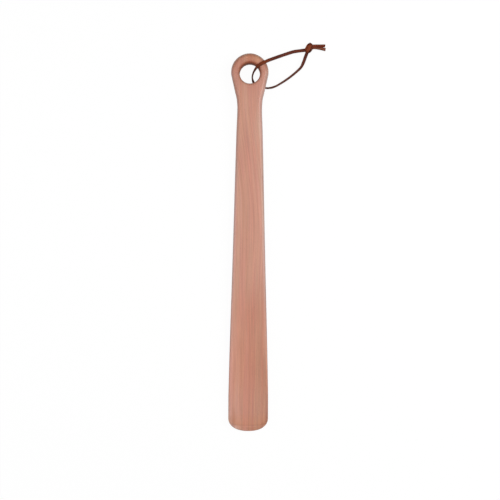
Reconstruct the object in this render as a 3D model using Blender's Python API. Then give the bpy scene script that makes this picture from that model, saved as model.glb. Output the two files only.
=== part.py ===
"""A long wooden shoe horn with a flat leather lace knotted through its eye.

Metres, +Z up. The horn lies on its back with its hollow upwards: +Y points to the eye, +X to the side where the
lace lies, and the origin is under the middle of the horn, on the surface that it rests on. Sizes along the horn
are distances from its eye end, or setbacks from its tip.
"""
import math

import bmesh
import bpy
import numpy as np
from mathutils import Vector

# Horn: the outline, seen from above
HORN_LENGTH = 0.400
RING_OUTER_RADIUS = 0.0198
EYE_RADIUS = 0.0107
EYE_OFFSET = 0.0019          # the eye lies this much nearer to the tip than the ring's own centre
RING_ARC_LENGTH = 0.0240     # the outline follows the ring's arc this far from the eye end
SHOULDER_DISTANCE = 0.0411
SHOULDER_WIDTH = 0.0309
NECK_DISTANCE = 0.0495
NECK_WIDTH = 0.0272
WAIST_DISTANCE = 0.0585
WAIST_WIDTH = 0.0261
HANDLE_DISTANCE = 0.0812
HANDLE_WIDTH = 0.0277
GRIP_DISTANCE = 0.2000
GRIP_WIDTH = 0.0338
BLADE_SHOULDER_SETBACK = 0.0541
BLADE_SHOULDER_WIDTH = 0.0414
BLADE_WIDE_SETBACK = 0.0330
BLADE_WIDTH = 0.0421
TIP_ARC_LENGTH = 0.0145
TIP_ARC_POWER = 2.2          # 2 would be a plain ellipse

# Horn: heights along its middle
EYE_LIFT = 0.0036            # the eye end bends up by this much, which leaves room for the lace under it
EYE_THICKNESS = 0.0109
EYE_FLAT_LENGTH = 0.0470
LAND_DISTANCE = 0.1150       # the flat land on the back starts here
LAND_SETBACK = 0.0550
LAND_WIDTH = 0.0180
HANDLE_THICKNESS = 0.0128
GRIP_THICKNESS = 0.0121
HOLLOW_SETBACK = 0.1650
HOLLOW_START_THICKNESS = 0.0113
BLADE_THICKNESS = 0.0096
TIP_LIFT = 0.0036
TIP_FRONT_HEIGHT = 0.0076
FRONT_CROWN = 0.0012
HANDLE_BACK_RISE = 0.0022
BLADE_BACK_RISE = 0.0052
TIP_BACK_RISE = 0.0030
BACK_RISE_POWER = 1.4        # 1 would be a straight chamfer beside the land, 2 a smooth run-out
TIP_LIFT_BEND = 0.5          # this share of the tip's lift bends, and the rest rises straight from the land

# Horn: the hollow that the heel slides down, and the edges
HOLLOW_RADIUS = 0.0360
HOLLOW_RUN_OUT = 0.0010      # the hollow's floor line starts this much above the front face
HOLLOW_SLOPE_SETBACK = 0.1000
HOLLOW_SLOPE_WALL = 0.0067
HOLLOW_DEEP_SETBACK = 0.0450
HOLLOW_WALL = 0.0034
TIP_WALL = 0.0021
CREASE_SOFTNESS = 0.0014
RING_EDGE_ROUNDING = 0.0042
EYE_EDGE_ROUNDING = 0.0026
HANDLE_EDGE_ROUNDING = 0.0030
GRIP_EDGE_ROUNDING = 0.0020
RIM_EDGE_ROUNDING = 0.0016
TIP_EDGE_ROUNDING = 0.0012
TIP_BEVEL_WIDTH = 0.0042
TIP_BEVEL_DEPTH = 0.0009

# Horn: how finely its surface is divided
RING_SPOKES = 40
RING_STEPS = 8
LAND_COLUMNS = 7
COLUMNS_PER_SIDE = 6         # beside the land
NECK_ROWS = 9
HANDLE_ROWS = 8
BLADE_ROWS = 15
TIP_ROWS = 6
NARROW_LAND_SHARE = 0.60     # on narrow rows the land's columns keep to this share of the half width
OUTLINE_SAMPLES = 420
OUTLINE_HALVINGS = 40        # steps of the search for the outline along a spoke

# Lace
LACE_RADIUS = 0.0010         # a round stand-in for a strip 3.4 mm wide and 1.5 mm thick
LACE_GAP = 0.0003
LACE_POINT_SPACING = 0.0040
LACE_CAP_DEGREES = (14, 38, 64)  # rings of a round end, as turns from its tip
ROUTE_STEPS = 24             # close points between two points of a route
BEVEL_SIDES = 2              # bevel_resolution of the lace's tubes

# Routes of the lace's middle line, in metres: across and along from the eye's axis, and up from the table.
BIGHT_ROUTE = (
    (0.0192, 0.0128, 0.0151), (0.0170, 0.0119, 0.0156), (0.0138, 0.0105, 0.0160), (0.0105, 0.0085, 0.0161),
    (0.0078, 0.0064, 0.0151), (0.0050, 0.0034, 0.0115), (0.0032, 0.0002, 0.0080), (0.0028, -0.0032, 0.0048),
    (0.0040, -0.0073, 0.0024), (0.0066, -0.0105, 0.0017), (0.0108, -0.0125, 0.0016), (0.0162, -0.0132, 0.0015),
    (0.0192, -0.0136, 0.0014),
)
FRONT_STRAND_ROUTE = (
    (0.0192, 0.0128, 0.0151), (0.0216, 0.0139, 0.0144), (0.0246, 0.0154, 0.0134), (0.0326, 0.0190, 0.0109),
    (0.0408, 0.0224, 0.0086), (0.0463, 0.0244, 0.0072), (0.0531, 0.0258, 0.0058), (0.0592, 0.0267, 0.0048),
)
BACK_STRAND_ROUTE = (
    (0.0192, -0.0136, 0.0014), (0.0217, -0.0132, 0.0015), (0.0243, -0.0123, 0.0016), (0.0291, -0.0102, 0.0019),
    (0.0359, -0.0062, 0.0023), (0.0426, -0.0016, 0.0026), (0.0494, 0.0040, 0.0028), (0.0543, 0.0088, 0.0030),
    (0.0568, 0.0136, 0.0033), (0.0588, 0.0191, 0.0037), (0.0608, 0.0241, 0.0041),
)
UPPER_TAIL_ROUTE = ((0.0663, 0.0310, 0.0047), (0.0726, 0.0319, 0.0038), (0.0801, 0.0321, 0.0030))
LOWER_TAIL_ROUTE = ((0.0662, 0.0287, 0.0035), (0.0727, 0.0288, 0.0025), (0.0798, 0.0284, 0.0018))
KNOT_CENTRE = (0.0626, 0.0290, 0.0042)
KNOT_TURN_RADIUS = 0.0034
KNOT_TURN_THICKNESS = 0.0030
KNOT_CORE_LENGTH = 0.0066
KNOT_CORE_WIDTH = 0.0084
KNOT_FLATNESS = 0.82         # height of the knot as a share of its width
KNOT_TILT = math.radians(-14)
KNOT_SEGMENTS = 20           # round the core, and a fifth more round the turn
KNOT_RINGS = 12

# Colour, linear RGB, and roughness
WOOD_COLOUR = (0.571, 0.289, 0.216)
WOOD_ROUGHNESS = 0.45
LACE_COLOUR = (0.115, 0.026, 0.012)
LACE_ROUGHNESS = 0.6

EYE_DISTANCE = RING_OUTER_RADIUS + EYE_OFFSET
EYE_Y = HORN_LENGTH / 2 - EYE_DISTANCE
TIP_ARC_START = HORN_LENGTH - TIP_ARC_LENGTH
LAND_END = HORN_LENGTH - LAND_SETBACK
HOLLOW_START = HORN_LENGTH - HOLLOW_SETBACK
HALF_LAND = LAND_WIDTH / 2


def smooth_curve(stations):
    """A curve through (place, value) stations that never swings past them, as a function."""
    places = [place for place, _ in stations]
    values = [value for _, value in stations]
    steps = [b - a for a, b in zip(places, places[1:])]
    rises = [(b - a) / step for a, b, step in zip(values, values[1:], steps)]
    slopes = [rises[0]]
    for (before, after), (step_before, step_after) in zip(zip(rises, rises[1:]), zip(steps, steps[1:])):
        if before * after <= 0:
            slopes.append(0.0)
        else:
            weight_before = 2 * step_after + step_before
            weight_after = step_after + 2 * step_before
            slopes.append((weight_before + weight_after) / (weight_before / before + weight_after / after))
    slopes.append(rises[-1])

    def value_at(place):
        place = min(max(place, places[0]), places[-1])
        index = min(sum(place > other for other in places[1:-1]), len(steps) - 1)
        t = (place - places[index]) / steps[index]
        return (
            (2 * t**3 - 3 * t**2 + 1) * values[index]
            + (t**3 - 2 * t**2 + t) * steps[index] * slopes[index]
            + (3 * t**2 - 2 * t**3) * values[index + 1]
            + (t**3 - t**2) * steps[index] * slopes[index + 1]
        )

    return value_at


def share(value, start, end):
    """0 before start, 1 after end, and a smooth step between them."""
    t = min(max((value - start) / (end - start), 0.0), 1.0)
    return t * t * (3 - 2 * t)


side_line = smooth_curve((
    (RING_ARC_LENGTH, math.sqrt(RING_OUTER_RADIUS**2 - (RING_ARC_LENGTH - RING_OUTER_RADIUS) ** 2)),
    (SHOULDER_DISTANCE, SHOULDER_WIDTH / 2),
    (NECK_DISTANCE, NECK_WIDTH / 2),
    (WAIST_DISTANCE, WAIST_WIDTH / 2),
    (HANDLE_DISTANCE, HANDLE_WIDTH / 2),
    (GRIP_DISTANCE, GRIP_WIDTH / 2),
    (HORN_LENGTH - BLADE_SHOULDER_SETBACK, BLADE_SHOULDER_WIDTH / 2),
    (HORN_LENGTH - BLADE_WIDE_SETBACK, BLADE_WIDTH / 2),
    (HORN_LENGTH, BLADE_WIDTH / 2),
))

front_line = smooth_curve((
    (0.0, EYE_LIFT + EYE_THICKNESS),
    (EYE_FLAT_LENGTH, EYE_LIFT + EYE_THICKNESS),
    (LAND_DISTANCE, HANDLE_THICKNESS),
    (GRIP_DISTANCE, GRIP_THICKNESS),
    (HOLLOW_START, HOLLOW_START_THICKNESS),
    (LAND_END, BLADE_THICKNESS),
    (HORN_LENGTH, TIP_FRONT_HEIGHT),
))

hollow_line = smooth_curve((
    (HOLLOW_START, HOLLOW_START_THICKNESS + HOLLOW_RUN_OUT),
    (HORN_LENGTH - HOLLOW_SLOPE_SETBACK, HOLLOW_SLOPE_WALL),
    (HORN_LENGTH - HOLLOW_DEEP_SETBACK, HOLLOW_WALL),
    (HORN_LENGTH, TIP_LIFT + TIP_WALL),
))

back_rise_line = smooth_curve((
    (EYE_FLAT_LENGTH, 0.0),
    (LAND_DISTANCE, HANDLE_BACK_RISE),
    (HOLLOW_START, HANDLE_BACK_RISE),
    (LAND_END, BLADE_BACK_RISE),
    (HORN_LENGTH, TIP_BACK_RISE),
))

edge_rounding_line = smooth_curve((
    (0.0, RING_EDGE_ROUNDING),
    (EYE_FLAT_LENGTH, RING_EDGE_ROUNDING),
    (LAND_DISTANCE, HANDLE_EDGE_ROUNDING),
    (GRIP_DISTANCE, GRIP_EDGE_ROUNDING),
    (HORN_LENGTH - HOLLOW_SLOPE_SETBACK, RIM_EDGE_ROUNDING),
    (HORN_LENGTH, TIP_EDGE_ROUNDING),
))


def half_width(distance):
    """Half of the horn's width at a distance from its eye end."""
    if distance < RING_ARC_LENGTH:
        return math.sqrt(max(RING_OUTER_RADIUS**2 - (RING_OUTER_RADIUS - distance) ** 2, 0.0))
    if distance < TIP_ARC_START:
        return side_line(distance)
    t = min((distance - TIP_ARC_START) / TIP_ARC_LENGTH, 1.0)
    return side_line(distance) * (1 - t**TIP_ARC_POWER) ** (1 / TIP_ARC_POWER)


def outline_samples():
    """Points along one side of the horn's outline, as (distance, half width), close together at both ends."""
    turns = np.linspace(0.0, math.pi, OUTLINE_SAMPLES)
    distances = [HORN_LENGTH * (1 - math.cos(turn)) / 2 for turn in turns]
    return np.array([(distance, half_width(distance)) for distance in distances])


OUTLINE = outline_samples()


def edge_distance(x, distance):
    """How far a point inside the horn's outline lies from it."""
    point = np.array((distance, abs(x)))
    starts = OUTLINE[:-1]
    spans = OUTLINE[1:] - starts
    along = np.clip(((point - starts) * spans).sum(axis=1) / (spans**2).sum(axis=1), 0.0, 1.0)
    return float(np.sqrt(((starts + spans * along[:, None] - point) ** 2).sum(axis=1)).min())


def rounded(edge, rounding):
    """0 at an edge, rising as a quarter circle to 1 at the rounding's width."""
    return math.sqrt(1 - (1 - min(edge / rounding, 1.0)) ** 2)


def soft_lower(first, second, softness):
    """The lower of two heights, with the crease between them rounded."""
    blend = max(softness - abs(first - second), 0.0) / softness
    return min(first, second) - blend * blend * softness / 4


def faces_of_horn(x, distance):
    """Heights of the front and the back of the horn before its edges are rounded."""
    side = side_line(distance)
    crown = FRONT_CROWN * share(distance, EYE_FLAT_LENGTH, LAND_DISTANCE)
    front = front_line(distance) - crown * (x / side) ** 2
    if distance > HOLLOW_START:
        hollow = hollow_line(distance) + x * x / (2 * HOLLOW_RADIUS)
        front = soft_lower(front, hollow, CREASE_SOFTNESS)
    from_land = min(max((LAND_DISTANCE - distance) / (LAND_DISTANCE - EYE_FLAT_LENGTH), 0.0), 1.0)
    lift = EYE_LIFT * math.sin(from_land * math.pi / 2)
    past_land = max((distance - LAND_END) / LAND_SETBACK, 0.0)
    tip_lift = TIP_LIFT * (past_land + TIP_LIFT_BEND * (past_land**2 - past_land))
    outside_land = max(abs(x) - HALF_LAND, 0.0) / (side - HALF_LAND)
    back = lift + tip_lift + back_rise_line(distance) * outside_land**BACK_RISE_POWER
    return front, back


def heights(x, distance):
    """Heights of the front and the back of the finished horn."""
    front, back = faces_of_horn(x, distance)
    edge = edge_distance(x, distance)
    near_tip = share(distance, TIP_ARC_START - TIP_BEVEL_WIDTH, TIP_ARC_START + TIP_BEVEL_WIDTH)
    front -= TIP_BEVEL_DEPTH * near_tip * max(1 - edge / TIP_BEVEL_WIDTH, 0.0)
    fullness = rounded(edge, edge_rounding_line(distance))
    eye_edge = 0.0
    if distance < EYE_FLAT_LENGTH:
        from_eye = max(math.hypot(x, distance - EYE_DISTANCE) - EYE_RADIUS, 0.0)
        eye_edge = EYE_EDGE_ROUNDING * (1 - rounded(from_eye, EYE_EDGE_ROUNDING))
    middle = (front + back) / 2
    return middle + (front - middle) * fullness - eye_edge, middle + (back - middle) * fullness + eye_edge


def columns(distance):
    """Places across the horn, from left to right: evenly over the land, and closer together near its sides."""
    half = half_width(distance)
    land = min(HALF_LAND, half * NARROW_LAND_SHARE)
    inner = [float(x) for x in np.linspace(-land, land, LAND_COLUMNS)]
    turns = [math.pi / 2 * step / COLUMNS_PER_SIDE for step in range(1, COLUMNS_PER_SIDE + 1)]
    right = [land + (half - land) * math.sin(turn) for turn in turns]
    return [-x for x in reversed(right)] + inner + right


def rows():
    """Distances of the horn's rows beyond its ring, in order."""
    neck = np.linspace(EYE_FLAT_LENGTH, LAND_DISTANCE, NECK_ROWS, endpoint=False)
    handle = np.linspace(LAND_DISTANCE, HOLLOW_START, HANDLE_ROWS, endpoint=False)
    blade = np.linspace(HOLLOW_START, TIP_ARC_START, BLADE_ROWS, endpoint=False)
    turns = np.linspace(0.0, math.pi / 2, TIP_ROWS, endpoint=False)
    tip = [TIP_ARC_START + TIP_ARC_LENGTH * math.sin(turn) for turn in turns]
    return [float(distance) for distance in (*neck, *handle, *blade, *tip)]


def outline_radius(angle):
    """Distance from the eye's axis to the horn's outline, at an angle from +X."""
    low, high = EYE_RADIUS, 2 * HORN_LENGTH
    for _ in range(OUTLINE_HALVINGS):
        radius = (low + high) / 2
        distance = EYE_DISTANCE - radius * math.sin(angle)
        inside = distance > 0 and abs(radius * math.cos(angle)) < half_width(distance)
        low, high = (radius, high) if inside else (low, radius)
    return low


def make_horn():
    """The horn: spokes round the eye make the ring, and rows of columns make the neck, handle and blade."""
    mesh = bmesh.new()

    def vertex(x, distance, height):
        return mesh.verts.new((x, HORN_LENGTH / 2 - distance, height))

    def face(*corners):
        unique = list(dict.fromkeys(corners))
        mesh.faces.new(unique)

    def band(first, second):
        """Faces between two closed rings of the same number of vertices."""
        for a, b, c, d in zip(first, first[1:] + first[:1], second[1:] + second[:1], second):
            face(a, b, c, d)

    # One closed ring of vertices for each row: the front from left to right, then the back from right to left
    row_rings = []
    for distance in rows():
        places = columns(distance)
        tops = [vertex(x, distance, heights(x, distance)[0]) for x in places]
        bottoms = [vertex(x, distance, heights(x, distance)[1]) for x in places[1:-1]]
        row_rings.append(tops + bottoms[::-1])
    for first, second in zip(row_rings, row_rings[1:]):
        band(second, first)
    front, back = heights(0.0, HORN_LENGTH)
    tip = vertex(0.0, HORN_LENGTH, (front + back) / 2)
    last = row_rings[-1]
    for a, b in zip(last, last[1:] + last[:1]):
        face(b, a, tip)

    # Where each spoke ends: on the first row, from left to right, then along the outline over the ring
    cut_places = columns(EYE_FLAT_LENGTH)
    cut_front = row_rings[0][: len(cut_places)]
    cut_back = [cut_front[0]] + row_rings[0][len(cut_places):][::-1] + [cut_front[-1]]
    cut_depth = EYE_FLAT_LENGTH - EYE_DISTANCE
    corner = math.atan2(-cut_depth, cut_places[-1])
    spokes = [(x, EYE_FLAT_LENGTH, top, bottom) for x, top, bottom in zip(cut_places, cut_front, cut_back)]
    for step in range(1, RING_SPOKES):
        angle = corner + (math.pi - 2 * corner) * step / RING_SPOKES
        radius = outline_radius(angle)
        spokes.append((radius * math.cos(angle), EYE_DISTANCE - radius * math.sin(angle), None, None))

    # Each spoke runs from the eye's wall out over the front, and back to the wall under the back
    spoke_lines = []
    for x, distance, top, bottom in spokes:
        reach = math.hypot(x, distance - EYE_DISTANCE)
        fronts, backs = [], []
        for step in range(RING_STEPS + 1):
            t = (1 - math.cos(math.pi * step / RING_STEPS)) / 2
            radius = EYE_RADIUS + (reach - EYE_RADIUS) * t
            place = (x * radius / reach, EYE_DISTANCE + (distance - EYE_DISTANCE) * radius / reach)
            high, low = heights(*place)
            if step == RING_STEPS and top is not None:
                fronts.append(top)
                backs.append(bottom)
            elif step == RING_STEPS:
                shared = vertex(*place, (high + low) / 2)
                fronts.append(shared)
                backs.append(shared)
            else:
                fronts.append(vertex(*place, high))
                backs.append(vertex(*place, low))
        spoke_lines.append((fronts, backs))
    for (fronts, backs), (next_fronts, next_backs) in zip(spoke_lines, spoke_lines[1:] + spoke_lines[:1]):
        face(backs[0], fronts[0], next_fronts[0], next_backs[0])
        for step in range(RING_STEPS):
            face(fronts[step], fronts[step + 1], next_fronts[step + 1], next_fronts[step])
            face(backs[step + 1], backs[step], next_backs[step], next_backs[step + 1])

    bmesh.ops.recalc_face_normals(mesh, faces=mesh.faces)
    horn = new_object("horn", mesh, WOOD)
    horn.data.shade_smooth()
    return horn


def new_material(name, colour, roughness):
    """A plain finish with the part's colour."""
    material = bpy.data.materials.new(name)
    material.use_nodes = True
    shader = material.node_tree.nodes["Principled BSDF"]
    shader.inputs["Base Color"].default_value = (*colour, 1.0)
    shader.inputs["Roughness"].default_value = roughness
    shader.inputs["Metallic"].default_value = 0.0
    return material


def new_object(name, mesh, material):
    """A mesh object for a node, in the part's collection."""
    data = bpy.data.meshes.new(name)
    mesh.to_mesh(data)
    mesh.free()
    data.materials.append(material)
    made = bpy.data.objects.new(name, data)
    PART.objects.link(made)
    return made


def new_axis(name, place, direction):
    """An empty on a joint's axis, its own Z along the axis."""
    empty = bpy.data.objects.new(name, None)
    empty.empty_display_type = "SINGLE_ARROW"
    empty.empty_display_size = EYE_RADIUS
    empty.location = place
    empty.rotation_mode = "QUATERNION"
    empty.rotation_quaternion = Vector(direction).to_track_quat("Z", "Y")
    PART.objects.link(empty)
    return empty


def hang_on(parent, *children):
    """Parents objects to an axis empty, and leaves them where they are."""
    bpy.context.view_layer.update()
    for child in children:
        child.parent = parent
        child.matrix_parent_inverse = parent.matrix_world.inverted()


def at_eye(place):
    """A place given from the eye's axis, in the part's frame."""
    return Vector((place[0], place[1] + EYE_Y, place[2]))


def smooth_route(route):
    """Close points along one smooth curve through a route's points."""
    points = [at_eye(place) for place in route]
    ends = [2 * points[0] - points[1]] + points + [2 * points[-1] - points[-2]]
    dense = []
    for before, start, end, after in zip(ends, ends[1:], ends[2:], ends[3:]):
        for step in range(ROUTE_STEPS):
            t = step / ROUTE_STEPS
            dense.append(
                0.5
                * (
                    2 * start
                    + (end - before) * t
                    + (2 * before - 5 * start + 4 * end - after) * t**2
                    + (3 * start - before - 3 * end + after) * t**3
                )
            )
    dense.append(points[-1])
    return dense


def route_reader(dense):
    """A function from a length along a route to the place there, and the route's whole length."""
    lengths = [0.0]
    for a, b in zip(dense, dense[1:]):
        lengths.append(lengths[-1] + (b - a).length)

    def place_at(length):
        index = max(min(sum(length > other for other in lengths) - 1, len(dense) - 2), 0)
        t = (length - lengths[index]) / (lengths[index + 1] - lengths[index])
        return dense[index].lerp(dense[index + 1], t)

    return place_at, lengths[-1]


def make_lace(name, route, start=0.0, beyond=0.0, round_start=False, round_end=False):
    """A tube from a length along a route to beyond its end, with round ends where the lace flexes."""
    place_at, total = route_reader(smooth_route(route))
    end = total + beyond
    cap_turns = [math.radians(degrees) for degrees in LACE_CAP_DEGREES]
    tips = [(LACE_RADIUS * (1 - math.cos(turn)), math.sin(turn)) for turn in cap_turns]
    stops = [(start + length, size) for length, size in tips] if round_start else []
    first = start + (LACE_RADIUS if round_start else 0.0)
    final = end - (LACE_RADIUS if round_end else 0.0)
    count = max(round((final - first) / LACE_POINT_SPACING), 2)
    stops += [(first + (final - first) * step / count, 1.0) for step in range(count + 1)]
    if round_end:
        stops += [(end - length, size) for length, size in reversed(tips)]

    data = bpy.data.curves.new(name, "CURVE")
    data.dimensions = "3D"
    data.bevel_depth = LACE_RADIUS
    data.bevel_resolution = BEVEL_SIDES
    data.use_fill_caps = True
    spline = data.splines.new("POLY")
    spline.points.add(len(stops) - 1)
    for point, (length, size) in zip(spline.points, stops):
        point.co = (*place_at(length), 1.0)
        point.radius = size
    data.materials.append(LEATHER)
    tube = bpy.data.objects.new(name, data)
    PART.objects.link(tube)
    return tube


def make_knot():
    """The overhand knot's outer shape: one fat turn round a core of both strands, as one solid."""
    core = bmesh.new()
    bmesh.ops.create_uvsphere(core, u_segments=KNOT_SEGMENTS, v_segments=KNOT_RINGS, radius=0.5)
    size = Vector((KNOT_CORE_LENGTH, KNOT_CORE_WIDTH, KNOT_CORE_WIDTH * KNOT_FLATNESS))
    bmesh.ops.scale(core, vec=size, verts=core.verts)
    knot = new_object("lace_knot", core, LEATHER)
    knot.location = at_eye(KNOT_CENTRE)
    knot.rotation_euler.z = KNOT_TILT

    bpy.ops.mesh.primitive_torus_add(
        major_radius=KNOT_TURN_RADIUS,
        minor_radius=KNOT_TURN_THICKNESS / 2,
        major_segments=KNOT_SEGMENTS * 6 // 5,
        minor_segments=KNOT_RINGS,
        location=at_eye(KNOT_CENTRE),
        rotation=(0.0, math.pi / 2, KNOT_TILT),
    )
    turn = bpy.context.object
    turn.name = "knot_turn"
    turn.scale.x = KNOT_FLATNESS
    turn.hide_render = True
    turn.display_type = "WIRE"
    for collection in turn.users_collection:
        collection.objects.unlink(turn)
    CUTTERS.objects.link(turn)

    joined = knot.modifiers.new("turn", "BOOLEAN")
    joined.operation = "UNION"
    joined.object = turn
    knot.data.shade_smooth()
    return knot


for old in list(bpy.data.objects):
    bpy.data.objects.remove(old, do_unlink=True)
PART = bpy.data.collections.new("shoe_horn")
CUTTERS = bpy.data.collections.new("shoe_horn_cutters")
bpy.context.scene.collection.children.link(PART)
bpy.context.scene.collection.children.link(CUTTERS)
WOOD = new_material("wood", WOOD_COLOUR, WOOD_ROUGHNESS)
LEATHER = new_material("leather", LACE_COLOUR, LACE_ROUGHNESS)

make_horn()

# The bight turns about the eye's axis, and the loop flexes about the line through the bight's two round ends
bight = make_lace("lace_bight", BIGHT_ROUTE, -LACE_RADIUS, LACE_RADIUS, round_start=True, round_end=True)
front_strand = make_lace("lace_front_strand", FRONT_STRAND_ROUTE, LACE_RADIUS + LACE_GAP, round_start=True)
back_strand = make_lace("lace_back_strand", BACK_STRAND_ROUTE, LACE_RADIUS + LACE_GAP, round_start=True)
upper_tail = make_lace("lace_upper_tail", UPPER_TAIL_ROUTE)
lower_tail = make_lace("lace_lower_tail", LOWER_TAIL_ROUTE)
knot = make_knot()

eye_axis = new_axis("eye_axis", at_eye((0.0, 0.0, 0.0)), (0.0, 0.0, 1.0))
hang_on(eye_axis, bight)
front_flex = at_eye(BIGHT_ROUTE[0])
back_flex = at_eye(BIGHT_ROUTE[-1])
loop_axis = new_axis("loop_axis", front_flex, back_flex - front_flex)
hang_on(eye_axis, loop_axis)
hang_on(loop_axis, front_strand, back_strand, upper_tail, lower_tail, knot)
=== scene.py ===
"""Looks of a long wooden shoe horn and the flat leather lace knotted through its eye.

Metres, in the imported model's own frame: the horn lies on its back, +Y points to its eye and +Z up. The
horn's surface follows the same formulas as its solid, divided more finely. The lace is one flat strip that
lies along the same route as its solids, with a real overhand knot and two cut ends.
"""
import math

import bmesh
import bpy
import numpy as np
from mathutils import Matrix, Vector, noise


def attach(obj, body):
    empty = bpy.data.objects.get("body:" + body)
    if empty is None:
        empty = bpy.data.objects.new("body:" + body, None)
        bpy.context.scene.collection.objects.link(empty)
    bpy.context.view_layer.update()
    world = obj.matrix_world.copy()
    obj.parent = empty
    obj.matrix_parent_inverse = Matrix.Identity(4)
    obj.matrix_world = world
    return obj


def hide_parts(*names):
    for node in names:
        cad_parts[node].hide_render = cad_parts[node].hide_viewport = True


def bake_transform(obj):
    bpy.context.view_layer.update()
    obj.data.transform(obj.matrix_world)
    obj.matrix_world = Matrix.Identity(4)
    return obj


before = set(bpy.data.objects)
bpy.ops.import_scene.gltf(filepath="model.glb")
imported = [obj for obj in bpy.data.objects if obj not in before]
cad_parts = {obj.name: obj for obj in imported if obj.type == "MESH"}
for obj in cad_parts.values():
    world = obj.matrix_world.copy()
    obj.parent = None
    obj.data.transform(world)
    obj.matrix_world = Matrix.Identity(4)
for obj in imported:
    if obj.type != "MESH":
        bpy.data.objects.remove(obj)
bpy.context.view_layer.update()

# Camera: straight above, a little off the horn's middle
CAMERA_PLACE = (0.00111, -0.00752, 0.750)
CAMERA_TURN = 0.00503
CAMERA_LENS = 50.5
CAMERA_SENSOR = 36.0

# Horn: the same named sizes as the solid
HORN_LENGTH = 0.400
RING_OUTER_RADIUS = 0.0198
EYE_RADIUS = 0.0107
EYE_OFFSET = 0.0019
RING_ARC_LENGTH = 0.0240
SHOULDER_DISTANCE = 0.0411
SHOULDER_WIDTH = 0.0309
NECK_DISTANCE = 0.0495
NECK_WIDTH = 0.0272
WAIST_DISTANCE = 0.0585
WAIST_WIDTH = 0.0261
HANDLE_DISTANCE = 0.0812
HANDLE_WIDTH = 0.0277
GRIP_DISTANCE = 0.2000
GRIP_WIDTH = 0.0338
BLADE_SHOULDER_SETBACK = 0.0541
BLADE_SHOULDER_WIDTH = 0.0414
BLADE_WIDE_SETBACK = 0.0330
BLADE_WIDTH = 0.0421
TIP_ARC_LENGTH = 0.0145
TIP_ARC_POWER = 2.2
EYE_LIFT = 0.0036
EYE_THICKNESS = 0.0109
EYE_FLAT_LENGTH = 0.0470
LAND_DISTANCE = 0.1150
LAND_SETBACK = 0.0550
LAND_WIDTH = 0.0180
HANDLE_THICKNESS = 0.0128
GRIP_THICKNESS = 0.0121
HOLLOW_SETBACK = 0.1650
HOLLOW_START_THICKNESS = 0.0113
BLADE_THICKNESS = 0.0096
TIP_LIFT = 0.0036
TIP_FRONT_HEIGHT = 0.0076
FRONT_CROWN = 0.0012
HANDLE_BACK_RISE = 0.0022
BLADE_BACK_RISE = 0.0052
TIP_BACK_RISE = 0.0030
BACK_RISE_POWER = 1.4
TIP_LIFT_BEND = 0.5
HOLLOW_RADIUS = 0.0360
HOLLOW_RUN_OUT = 0.0010
HOLLOW_SLOPE_SETBACK = 0.1000
HOLLOW_SLOPE_WALL = 0.0067
HOLLOW_DEEP_SETBACK = 0.0450
HOLLOW_WALL = 0.0034
TIP_WALL = 0.0021
CREASE_SOFTNESS = 0.0014
RING_EDGE_ROUNDING = 0.0042
EYE_EDGE_ROUNDING = 0.0026
HANDLE_EDGE_ROUNDING = 0.0030
GRIP_EDGE_ROUNDING = 0.0020
RIM_EDGE_ROUNDING = 0.0016
TIP_EDGE_ROUNDING = 0.0012
TIP_BEVEL_WIDTH = 0.0042
TIP_BEVEL_DEPTH = 0.0009

# Horn: how finely its surface is divided here
RING_SPOKES = 120
RING_STEPS = 18
LAND_COLUMNS = 21
COLUMNS_PER_SIDE = 14
NECK_ROWS = 40
HANDLE_ROWS = 50
BLADE_ROWS = 90
TIP_ROWS = 16
NARROW_LAND_SHARE = 0.60
OUTLINE_SAMPLES = 900
OUTLINE_HALVINGS = 40

EYE_DISTANCE = RING_OUTER_RADIUS + EYE_OFFSET
EYE_Y = HORN_LENGTH / 2 - EYE_DISTANCE
TIP_ARC_START = HORN_LENGTH - TIP_ARC_LENGTH
LAND_END = HORN_LENGTH - LAND_SETBACK
HOLLOW_START = HORN_LENGTH - HOLLOW_SETBACK
HALF_LAND = LAND_WIDTH / 2

# Lace: one flat strip of leather
STRIP_WIDTH = 0.0034
STRIP_THICKNESS = 0.0015
STRIP_ROUNDING = 0.0004
STRIP_CORNER_STEPS = 3
STRIP_FACE_SHARES = (0.2, 0.0, -0.2)  # more points on each broad face, in shares of the strip's width
STRIP_SPACING = 0.0005  # between the sections along the strip
KNOT_SPACING = 0.00035  # and along its two ends
CURVE_STEPS = 24  # from one station to the next
STRIP_WAVER = 0.04  # how much its cut width wanders
STRIP_LIFT = 0.00008  # how far its faces wander up and down
WAVERS_PER_METRE = 160
LIFTS_PER_METRE = 240
LIFT_ROW = 9.0  # the row of the noise that its faces follow
KNOT_CENTRE = (0.0626, 0.0290, 0.0037)

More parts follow.
